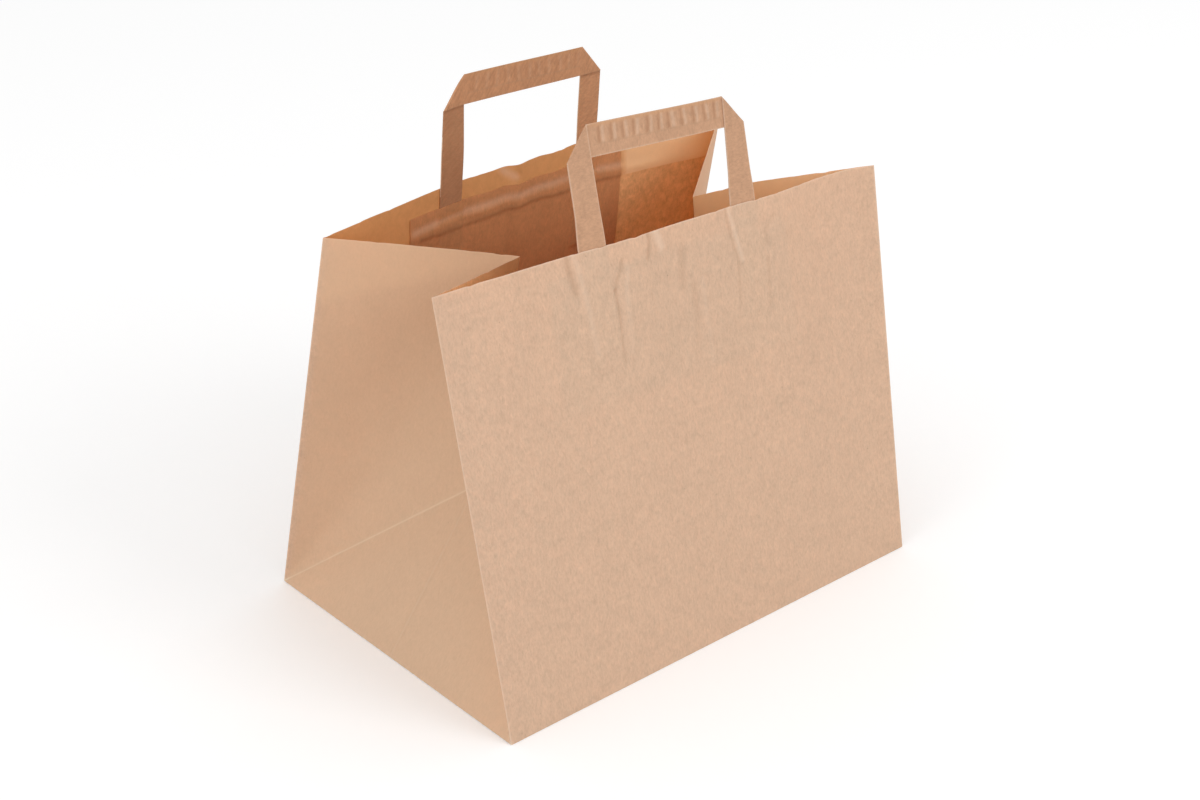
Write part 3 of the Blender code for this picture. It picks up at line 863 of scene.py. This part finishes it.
def make_handle(name, node, wall, glued, sway, crinkle, face, inner_face):
    """A flat strip with its length along X, folded down at both corners and stuck to the wall."""
    half = glued.span / 2
    inner = half - RIBBON_WIDTH
    low = HEIGHT + glued.rise
    top = low + RIBBON_WIDTH
    reach = half + low - LEG_END
    bm = bmesh.new()
    bmesh.ops.create_grid(bm, x_segments=round(2 * reach / RIBBON_CELL), y_segments=RIBBON_CELLS_ACROSS,
                          size=0.5, matrix=Matrix.Translation((0, (low + top) / 2, 0))
                          @ Matrix.Diagonal((2 * reach, RIBBON_WIDTH, 1, 1)))
    for side in (-1, 1):
        across = Vector((side, 1, 0)).normalized()
        for step in (-1, -0.5, 0, 0.5, 1):
            place = Vector((side * half, low, 0)) + across * step * math.pi * CORNER_RADIUS / 2
            bmesh.ops.bisect_plane(bm, geom=bm.verts[:] + bm.edges[:] + bm.faces[:], dist=PAPER / 20,
                                   plane_co=place, plane_no=across)
    flat = bm.loops.layers.uv.new("flat")
    for part in bm.faces:
        for loop in part.loops:
            loop[flat].uv = (loop.vert.co.x, loop.vert.co.y - low)
    layer = GLUE_GAP + RIBBON / 2 + 2 * CORNER_RADIUS
    painted_shading = bm.verts.layers.float.new("painted_shading")
    for vert in bm.verts:
        x, y = vert.co.xy
        share = (y - low) / RIBBON_WIDTH
        pinched = smooth(inner, inner - CRINKLE_FADE, abs(x))
        pinched *= smooth(*CRINKLE_FOOT, share) * smooth(*CRINKLE_TOP, share)
        drift = waves(CRINKLE_DRIFT, x, share, wall.side)
        gap = min((x + drift - place for place in CRINKLES), key=abs)
        # Painted shade in each crinkle's groove, and a painted highlight beside it
        dark = 1 - smooth(0, CRINKLE_HALF, abs(gap))
        light = 1 - smooth(0, CRINKLE_HIGHLIGHT_HALF, abs(gap - CRINKLE_HIGHLIGHT_OFF))
        vert[painted_shading] = (dark - CRINKLE_HIGHLIGHT * light) * pinched * crinkle / FRONT_CRINKLE
        vert.co.z = layer - crinkle * dark * pinched
        side = 1 if x > 0 else -1
        vert.co = turn_corner(vert.co.copy(), Vector((side * half, low)), side)
    bmesh.ops.transform(bm, matrix=turned(glued.shift, glued.turn), verts=bm.verts)
    for vert in bm.verts:
        vert.co = stand(wall, glued, sway, *vert.co)
    if wall.side < 0:
        bmesh.ops.reverse_faces(bm, faces=bm.faces)
    ribbon = thicken(name, bm, RIBBON, 0, face, inner_face)
    for polygon in ribbon.data.polygons:
        polygon.material_index = 1 if polygon.normal.y * wall.side < FACES_IN else 0
    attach(ribbon, "root")
    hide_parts(node)


# The handles' paper: its long edges have a painted highlight on the outer face and painted shade on the
# inner one, the grip is warmer along its top and has a seam where the ribbon's plies end, and the inner
# face is darker, with rubbed streaks, painted shade on its left leg and painted shade where the grip meets
# the legs.
RIBBON_OUTSIDE = (0.562, 0.322, 0.195)
RIBBON_INSIDE = (0.57, 0.288, 0.150)
RIBBON_WARM = (0.62, 0.32, 0.15)
RIBBON_DULL = 0.8
RIBBON_THROUGH = 0.03
PAINTED_EDGE_WIDTH = 0.0008
GRIP_EDGE = (0.047, 0.044)
WARM_EDGE = (RIBBON_WIDTH * 0.84, RIBBON_WIDTH * 0.93)
SEAM_UP = RIBBON_WIDTH * 0.35
SEAM_EDGE = (0.0006, 0.0001)
RUB_TURN = -0.96
RUB_STRETCH = (1, 6, 1)
RUB_EDGE = (0.45, 0.70)
LEFT_LEG_EDGE = (-0.0640, -0.0648)
CORNER_AT = 0.0650
CORNER_EDGE = (0.0014, 0.0004)


def ribbon_paper(name, colour, edge_colour, edge_strength, wrinkle_shading_strength):
    """The paper of one face of the handles, with its painted edge tint, warm top, seam and painted crinkle
    shading.
    """
    paper = Paper(name, colour, CLOUD * 1.4, 0.32, FLECK)
    tree = paper.tree
    from_middle = number(tree, "ABSOLUTE", number(tree, "SUBTRACT", paper.up, RIBBON_WIDTH / 2))
    # Painted light along the long edges: a highlight on the outer face, shade on the inner one
    edge = ramp(tree, from_middle, RIBBON_WIDTH / 2 - PAINTED_EDGE_WIDTH, RIBBON_WIDTH / 2)
    paper.tint(edge, edge_colour, edge_strength)
    on_grip = ramp(tree, number(tree, "ABSOLUTE", paper.round_tube), *GRIP_EDGE)
    high = ramp(tree, paper.up, *WARM_EDGE)
    paper.tint(number(tree, "MULTIPLY", on_grip, high), RIBBON_WARM, 0.35)
    from_seam = number(tree, "ABSOLUTE", number(tree, "SUBTRACT", paper.up, SEAM_UP))
    seam = ramp(tree, from_seam, *SEAM_EDGE)
    paper.tint(number(tree, "MULTIPLY", on_grip, seam), SHADE, 0.30)
    paper.wrinkles(wrinkle_shading_strength, DEEP_SHADE)
    return paper


outer_ribbon = ribbon_paper("handle_outer_face", RIBBON_OUTSIDE, PALE, 0.30, 0.50)
ribbon_outer = outer_ribbon.finish(RIBBON_DULL, RIBBON_THROUGH)

inner_ribbon = ribbon_paper("handle_inner_face", RIBBON_INSIDE, SHADE, 0.35, 0.60)
tree = inner_ribbon.tree
turned_flat = put(tree, "ShaderNodeMapping", {"Vector": inner_ribbon.flat, "Rotation": (0, 0, RUB_TURN)})
slanted = put(tree, "ShaderNodeVectorMath", {0: turned_flat.outputs[0], 1: RUB_STRETCH},
              operation="MULTIPLY")
rub = put(tree, "ShaderNodeTexNoise", {"Vector": slanted.outputs[0], "Scale": 90, "Detail": 2})
inner_ribbon.tint(ramp(tree, rub.outputs[0], *RUB_EDGE), DEEP_SHADE, 0.30)
# Painted shade on the left leg, which lies in shadow behind the grip, and where the grip meets each leg
inner_ribbon.tint(ramp(tree, inner_ribbon.round_tube, *LEFT_LEG_EDGE), DEEP_SHADE, 0.42)
from_corner = number(tree, "SUBTRACT", number(tree, "ABSOLUTE", inner_ribbon.round_tube), CORNER_AT)
at_corner = ramp(tree, number(tree, "ABSOLUTE", from_corner), *CORNER_EDGE)
inner_ribbon.tint(at_corner, DEEP_SHADE, 0.45)
ribbon_inner = inner_ribbon.finish(RIBBON_DULL, RIBBON_THROUGH)

make_handle("front_handle_ribbon", "front_handle", FRONT, FRONT_GLUED, FRONT_SWAY, FRONT_CRINKLE,
            ribbon_outer, ribbon_inner)
make_handle("back_handle_ribbon", "back_handle", BACK, BACK_GLUED, BACK_SWAY, BACK_CRINKLE,
            ribbon_outer, ribbon_inner)

# The floor: a plain white sheet, wide enough to fill the view. It is white to the camera and keeps
# the bag's soft shadow.
FLOOR_HALF = 6
FLOOR_LIT = (0.72, 0.72, 0.72, 1)
FLOOR_LIFT = 0.07
WHITE = (1, 1, 1, 1)


def seen_rays(tree):
    """One for the rays that show a surface to the camera, straight or in gloss or through clear things."""
    path = put(tree, "ShaderNodeLightPath")
    clear = number(tree, "MAXIMUM", path.outputs["Is Glossy Ray"], path.outputs["Is Transmission Ray"])
    return number(tree, "MAXIMUM", path.outputs["Is Camera Ray"], clear)


bm = bmesh.new()
bmesh.ops.create_grid(bm, x_segments=1, y_segments=1, size=FLOOR_HALF)
floor_mesh = bpy.data.meshes.new("floor")
bm.to_mesh(floor_mesh)
bm.free()
floor = bpy.data.objects.new("floor", floor_mesh)
bpy.context.scene.collection.objects.link(floor)
floor_material = bpy.data.materials.new("floor_white")
floor_material.use_nodes = True
tree = floor_material.node_tree
shader = tree.nodes["Principled BSDF"]
seen = seen_rays(tree)
tree.links.new(blend_colour(tree, seen, FLOOR_LIT, WHITE), shader.inputs["Base Color"])
tree.links.new(number(tree, "MULTIPLY", seen, FLOOR_LIFT), shader.inputs["Emission Strength"])
shader.inputs["Emission Color"].default_value = WHITE
shader.inputs["Roughness"].default_value = 1
shader.inputs["Specular IOR Level"].default_value = 0
floor_mesh.materials.append(floor_material)

# The light: an even white tent all round, with one broad soft lamp at the front and one at the left.
# The tent is white to the camera, and a little weaker where it lights things.
WORLD_LEVEL = 0.85
BAG_MIDDLE = (0, 0, 0.12)
world = bpy.data.worlds.new("studio")
bpy.context.scene.world = world
world.use_nodes = True
tree = world.node_tree
level = number(tree, "MULTIPLY_ADD", seen_rays(tree), 1 - WORLD_LEVEL, WORLD_LEVEL)
tree.links.new(level, tree.nodes["Background"].inputs["Strength"])
tree.nodes["Background"].inputs["Color"].default_value = WHITE


def soft_lamp(name, place, size, power):
    """A round soft lamp that points at the middle of the bag."""
    lamp = bpy.data.lights.new(name, "AREA")
    lamp.shape = "DISK"
    lamp.size = size
    lamp.energy = power
    item = bpy.data.objects.new(name, lamp)
    bpy.context.scene.collection.objects.link(item)
    item.location = place
    item.rotation_euler = (Vector(BAG_MIDDLE) - Vector(place)).to_track_quat("-Z", "Y").to_euler()


soft_lamp("key", place=(0.9, -2.2, 1.6), size=1.6, power=16)
soft_lamp("fill", place=(-2.3, -0.3, 0.45), size=1.4, power=13)

# The camera: where the photograph was taken from, as the corners and folds of the bag show. Its axes are
# its right, its up and its back.
CAMERA_PLACE = (-0.67299, -0.75011, 0.60571)
CAMERA_AXES = ((0.747980, -0.663645, 0.010112), (0.284500, 0.334343, 0.898484),
               (-0.599655, -0.669171, 0.438889))
CAMERA_LENS = 56.353
CAMERA_SENSOR = 36
camera = bpy.data.cameras.new("camera")
camera.lens = CAMERA_LENS
camera.sensor_width = CAMERA_SENSOR
camera_item = bpy.data.objects.new("camera", camera)
bpy.context.scene.collection.objects.link(camera_item)
camera_item.matrix_world = Matrix.Translation(CAMERA_PLACE) @ Matrix(CAMERA_AXES).transposed().to_4x4()
bpy.context.scene.camera = camera_item
bpy.context.scene.view_settings.view_transform = "Standard"
